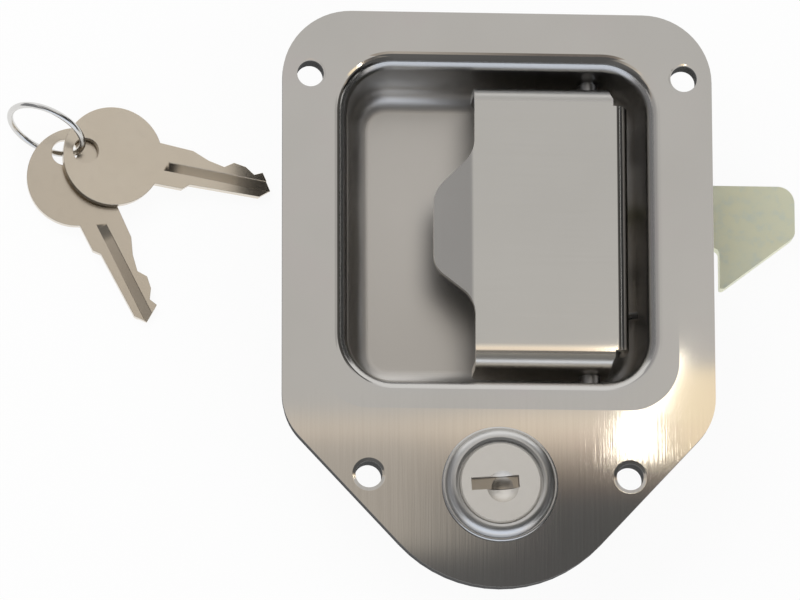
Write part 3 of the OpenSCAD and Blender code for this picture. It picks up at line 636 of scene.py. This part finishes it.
key_finish = Finish("key_nickel_plate", 1.0, 0.3)
cloud = key_finish.group(cloud_group, {"Scale": 120.0, "Contrast": 1.5}).outputs["Cloud"]
rub = key_finish.group(cloud_group, {"Scale": 480.0, "Contrast": 1.6}).outputs["Cloud"]
tone = key_finish.mix(cloud, (0.68, 0.605, 0.50), (0.75, 0.675, 0.57))
worn = key_finish.ramp(rub, 0.4, 1.0, 0.0, 0.2)
key_finish.feed("Base Color", key_finish.mix(worn, tone, (0.60, 0.53, 0.44)))
key_finish.feed("Roughness", key_finish.math("MULTIPLY_ADD", cloud, 0.06, 0.19))
dress(key_finish, "key_front", "key_rear")

bright = clouded_metal("bright_plated_steel", 1.0, 0.15, 300.0, 1.5,
                       ((0.66, 0.65, 0.63), (0.75, 0.745, 0.73)), (0.14, 0.1))
dress(bright, "case_rivets", "lock_washer", "cam_washer", "cam_screw", "key_ring")
# Painted shade: the hinge pin, its spacers and push nut and both springs sit in the shaded gaps behind the
# paddle and the plate, and their steel is given a dark tone for that shade.
shaded_dark_steel = clouded_metal("dark_steel_painted_shade", 1.0, 0.3, 400.0, 1.5,
                      ((0.28, 0.275, 0.27), (0.4, 0.395, 0.39)), (0.2, 0.22))
dress(shaded_dark_steel, "hinge_pin", "pin_spacers", "pin_push_nut", "paddle_spring", "bolt_spring")

# %% [markdown]
# No cut edge is perfectly sharp: a blanked key, a punched bolt or a sheet cut and bent into a paddle has a
# tiny rounded rim that catches light. A CAD mesh is never changed, so each of these pieces is a copy. Its
# loose triangles are merged, flat areas are dissolved into single faces, and only then can a Bevel modifier
# run evenly round the outline.

# %% Soft rims on the blanked and bent pieces
MERGE_GAP = 0.002 * MM
FLAT_ANGLE = math.radians(1)
RIM_ANGLE = math.radians(35)
RIM_SEGMENTS = 3
SMOOTH_ANGLE = math.radians(32)


def edit_mesh(piece):
    """Opens one mesh in edit mode with nothing selected."""
    bpy.ops.object.select_all(action="DESELECT")
    piece.select_set(True)
    bpy.context.view_layer.objects.active = piece
    bpy.ops.object.mode_set(mode="EDIT")
    bpy.ops.mesh.select_mode(type="VERT")
    bpy.ops.mesh.select_all(action="DESELECT")


def soft_rim(name, body, width):
    """Stands a copy with rounded rims in the place of a CAD node."""
    bpy.ops.object.select_all(action="DESELECT")
    node[name].select_set(True)
    bpy.context.view_layer.objects.active = node[name]
    bpy.ops.object.duplicate(linked=False)
    piece = bpy.context.object
    piece.name = name + "_blank"
    bpy.ops.object.parent_clear(type="CLEAR_KEEP_TRANSFORM")
    bpy.ops.mesh.customdata_custom_splitnormals_clear()
    edit_mesh(piece)
    bpy.ops.mesh.select_all(action="SELECT")
    bpy.ops.mesh.remove_doubles(threshold=MERGE_GAP)
    bpy.ops.mesh.dissolve_limited(angle_limit=FLAT_ANGLE)
    bpy.ops.object.mode_set(mode="OBJECT")
    rim = piece.modifiers.new("soft_rim", "BEVEL")
    rim.width = width
    rim.segments = RIM_SEGMENTS
    rim.limit_method = "ANGLE"
    rim.angle_limit = RIM_ANGLE
    bpy.ops.object.modifier_apply(modifier=rim.name)
    bpy.ops.object.shade_smooth_by_angle(angle=SMOOTH_ANGLE)
    flat = piece.modifiers.new("flat_faces", "WEIGHTED_NORMAL")
    flat.weight = 100
    flat.keep_sharp = True
    bpy.ops.object.modifier_apply(modifier=flat.name)
    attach(piece, body)
    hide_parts(name)
    print(piece.name, "has", len(piece.data.polygons), "faces and a rim of", round(width / MM, 2), "mm")


soft_rim("bolt", "slide_bolt", 0.3 * MM)
soft_rim("key_front", "front_key", 0.28 * MM)
soft_rim("key_rear", "rear_key", 0.28 * MM)
soft_rim("paddle", "handle", 0.25 * MM)
soft_rim("bolt_case", "housing", 0.2 * MM)
soft_rim("lock_cam", "plug", 0.2 * MM)

# %% [markdown]
# A spring is one length of round wire. CAD keeps it as a faceted stand-in, so here it is drawn again: a small
# circle, the section of the wire, is swept along a helix by a Screw modifier. That is quicker than a curve
# with hundreds of points, and the section stays square to the wire all the way. The two springs differ only
# in their numbers, so one helper makes a run of coils round the local Z axis.

# %% Coils of round wire
WIRE_SIDES = 14
STEPS_PER_TURN = 36
FULL_TURN = math.radians(360)
RING_GAP = 0.001 * MM
WIRE_SMOOTH_ANGLE = math.radians(50)


def pick(piece, wanted):
    """Selects the vertices for which wanted(place) is true and goes back to edit mode."""
    bpy.ops.object.mode_set(mode="OBJECT")
    for vertex in piece.data.vertices:
        vertex.select = wanted(vertex.co)
    count = sum(vertex.select for vertex in piece.data.vertices)
    bpy.ops.object.mode_set(mode="EDIT")
    bpy.ops.mesh.select_mode(type="VERT")
    return count


def coil_run(name, radius, wire, turns, rise, start_z=0.0, sides=WIRE_SIDES):
    """Winds wire round local Z from a start ring on local -Y; negative turns wind the other way."""
    bpy.ops.object.select_all(action="DESELECT")
    bpy.ops.mesh.primitive_circle_add(
        vertices=sides, radius=wire / 2, location=(0, -radius, start_z), rotation=(0, math.radians(90), 0)
    )
    run = bpy.context.object
    run.name = name
    bpy.ops.object.transform_apply(location=True, rotation=True, scale=True)
    screw = run.modifiers.new("helix", "SCREW")
    screw.angle = FULL_TURN * turns
    screw.screw_offset = rise
    screw.steps = screw.render_steps = round(abs(turns) * STEPS_PER_TURN)
    screw.use_merge_vertices = False
    bpy.ops.object.modifier_apply(modifier=screw.name)
    return run


def close_ends(piece):
    """Fills the open ends of the wire, points the faces outwards and shades the wire smooth."""
    edit_mesh(piece)
    bpy.ops.mesh.select_all(action="SELECT")
    bpy.ops.mesh.remove_doubles(threshold=RING_GAP)
    bpy.ops.mesh.select_all(action="DESELECT")
    bpy.ops.mesh.select_non_manifold(extend=False)
    bpy.ops.mesh.fill_holes(sides=WIRE_SIDES)
    bpy.ops.mesh.select_all(action="SELECT")
    bpy.ops.mesh.normals_make_consistent(inside=False)
    bpy.ops.object.mode_set(mode="OBJECT")
    bpy.ops.object.shade_smooth_by_angle(angle=WIRE_SMOOTH_ANGLE)
    print(piece.name, "has", len(piece.data.polygons), "faces")


# %% [markdown]
# The paddle's spring is a torsion spring: close coils round the pin, with a leg that stands on the dish's
# floor and a leg that lifts the paddle's short end, which closes it. The legs are extruded from the end rings
# in short steps, and each step turns the ring a little, as wire bends over a former.

# %% Torsion spring on the pin
PIN = Vector((19.6, 0, -5.3)) * MM
COIL_RADIUS = 2.8 * MM
TORSION_WIRE = 1.4 * MM
TORSION_TURNS = -6.5
FLOOR_END_Y = -16.075 * MM
FACE_END_Y = -26.15 * MM
LEG_STEPS = 7
LEG_BEND = 1.6 * MM
LEG_END = 4.2 * MM
FLOOR_LEG = 4.5 * MM
FACE_LEG = 2.5 * MM
RING_SLACK = 0.01 * MM
RING_REACH = 0.75 * MM


def bend_leg(start, control, finish):
    """Extrudes the selected end ring along a curve in the plane of local X and Y."""
    here = Vector(start)
    heading = 0.0
    for step in range(1, LEG_STEPS + 1):
        t = step / LEG_STEPS
        there = Vector(start) * (1 - t) ** 2 + Vector(control) * 2 * t * (1 - t) + Vector(finish) * t * t
        along = (Vector(control) - Vector(start)) * (1 - t) + (Vector(finish) - Vector(control)) * t
        bpy.ops.mesh.extrude_region_move(TRANSFORM_OT_translate={"value": there - here})
        turned = math.atan2(along.y, along.x)
        bpy.ops.transform.rotate(value=heading - turned, orient_axis="Z", center_override=there)
        here = there
        heading = turned


rise = FLOOR_END_Y - FACE_END_Y
torsion = coil_run("paddle_spring_wire", COIL_RADIUS, TORSION_WIRE, TORSION_TURNS, rise)
edit_mesh(torsion)
ring = pick(torsion, lambda co: abs(co.x) < RING_SLACK and abs(co.z) < RING_REACH and co.y < 0)
print("Start ring of", ring, "points")
bend_leg((0, -COIL_RADIUS, 0), (LEG_BEND, -COIL_RADIUS, 0), (LEG_END, -COIL_RADIUS - FLOOR_LEG, 0))
ring = pick(torsion, lambda co: abs(co.x) < RING_SLACK and abs(co.z - rise) < RING_REACH and co.y > 0)
print("End ring of", ring, "points")
bend_leg((0, COIL_RADIUS, rise), (LEG_BEND, COIL_RADIUS, rise), (LEG_END, COIL_RADIUS + FACE_LEG, rise))
bpy.ops.object.mode_set(mode="OBJECT")
torsion.rotation_euler = (math.radians(90), 0, 0)
torsion.location = (PIN.x, FLOOR_END_Y, PIN.z)
bpy.ops.object.transform_apply(location=True, rotation=True, scale=True)
close_ends(torsion)
torsion.data.materials.append(shaded_dark_steel.material)
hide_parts("paddle_spring")
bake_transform(torsion)

# %% [markdown]
# The bolt's spring is a compression spring with closed ends: the first and last turns lie flat against their
# neighbours, so that the spring stands square on its seats. Three runs of coils with different pitch share
# their end rings, and merging the doubles makes them one wire.

# %% Compression spring behind the bolt
BOLT_SPRING_START = Vector((-11.8, 8.15, -19.7)) * MM
BOLT_COIL_RADIUS = 3.05 * MM
BOLT_WIRE = 0.9 * MM
CLOSED_RISE = 1.0 * MM
OPEN_RISE = 23 * MM
OPEN_TURNS = 8

runs = [
    coil_run("bolt_spring_wire", BOLT_COIL_RADIUS, BOLT_WIRE, 1, CLOSED_RISE),
    coil_run("open_coils", BOLT_COIL_RADIUS, BOLT_WIRE, OPEN_TURNS, OPEN_RISE, CLOSED_RISE),
    coil_run("last_coil", BOLT_COIL_RADIUS, BOLT_WIRE, 1, CLOSED_RISE, CLOSED_RISE + OPEN_RISE),
]
bpy.ops.object.select_all(action="DESELECT")
for run in runs:
    run.select_set(True)
bpy.context.view_layer.objects.active = runs[0]
bpy.ops.object.join()
compression = bpy.context.object
compression.rotation_euler = (0, math.radians(90), 0)
compression.location = BOLT_SPRING_START
bpy.ops.object.transform_apply(location=True, rotation=True, scale=True)
close_ends(compression)
compression.data.materials.append(shaded_dark_steel.material)
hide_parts("bolt_spring")
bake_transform(compression)

# %% [markdown]
# The lock's barrel carries a thread for its nut, cut away where the barrel has flats. CAD has a plain barrel,
# so the thread is a piece of its own: a four-cornered ring, half sunk in the barrel, is wound like a spring,
# and Bisect cuts the windings off level with the two flats.

# %% Thread on the lock's barrel
LOCK_Y = -54.75 * MM
BARREL_RADIUS = 9.4 * MM
HALF_FLATS = 8.0 * MM
THREAD_START = -16.9 * MM
THREAD_TURNS = 18
THREAD_PITCH = 1.0 * MM
THREAD_SECTION = 0.9 * MM
THREAD_SIDES = 4

thread = coil_run("barrel_thread", BARREL_RADIUS, THREAD_SECTION, THREAD_TURNS,
                  THREAD_TURNS * THREAD_PITCH, THREAD_START, sides=THREAD_SIDES)
thread.location = (0, LOCK_Y, 0)
bpy.ops.object.transform_apply(location=True, rotation=True, scale=True)
close_ends(thread)
for side in (1, -1):
    edit_mesh(thread)
    bpy.ops.mesh.select_all(action="SELECT")
    bpy.ops.mesh.bisect(plane_co=(0, LOCK_Y + side * HALF_FLATS, 0), plane_no=(0, side, 0),
                        use_fill=True, clear_outer=True)
    bpy.ops.object.mode_set(mode="OBJECT")
thread.data.materials.append(chrome.material)
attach(thread, "housing")
print("Thread of", THREAD_TURNS, "turns with", len(thread.data.polygons), "faces")
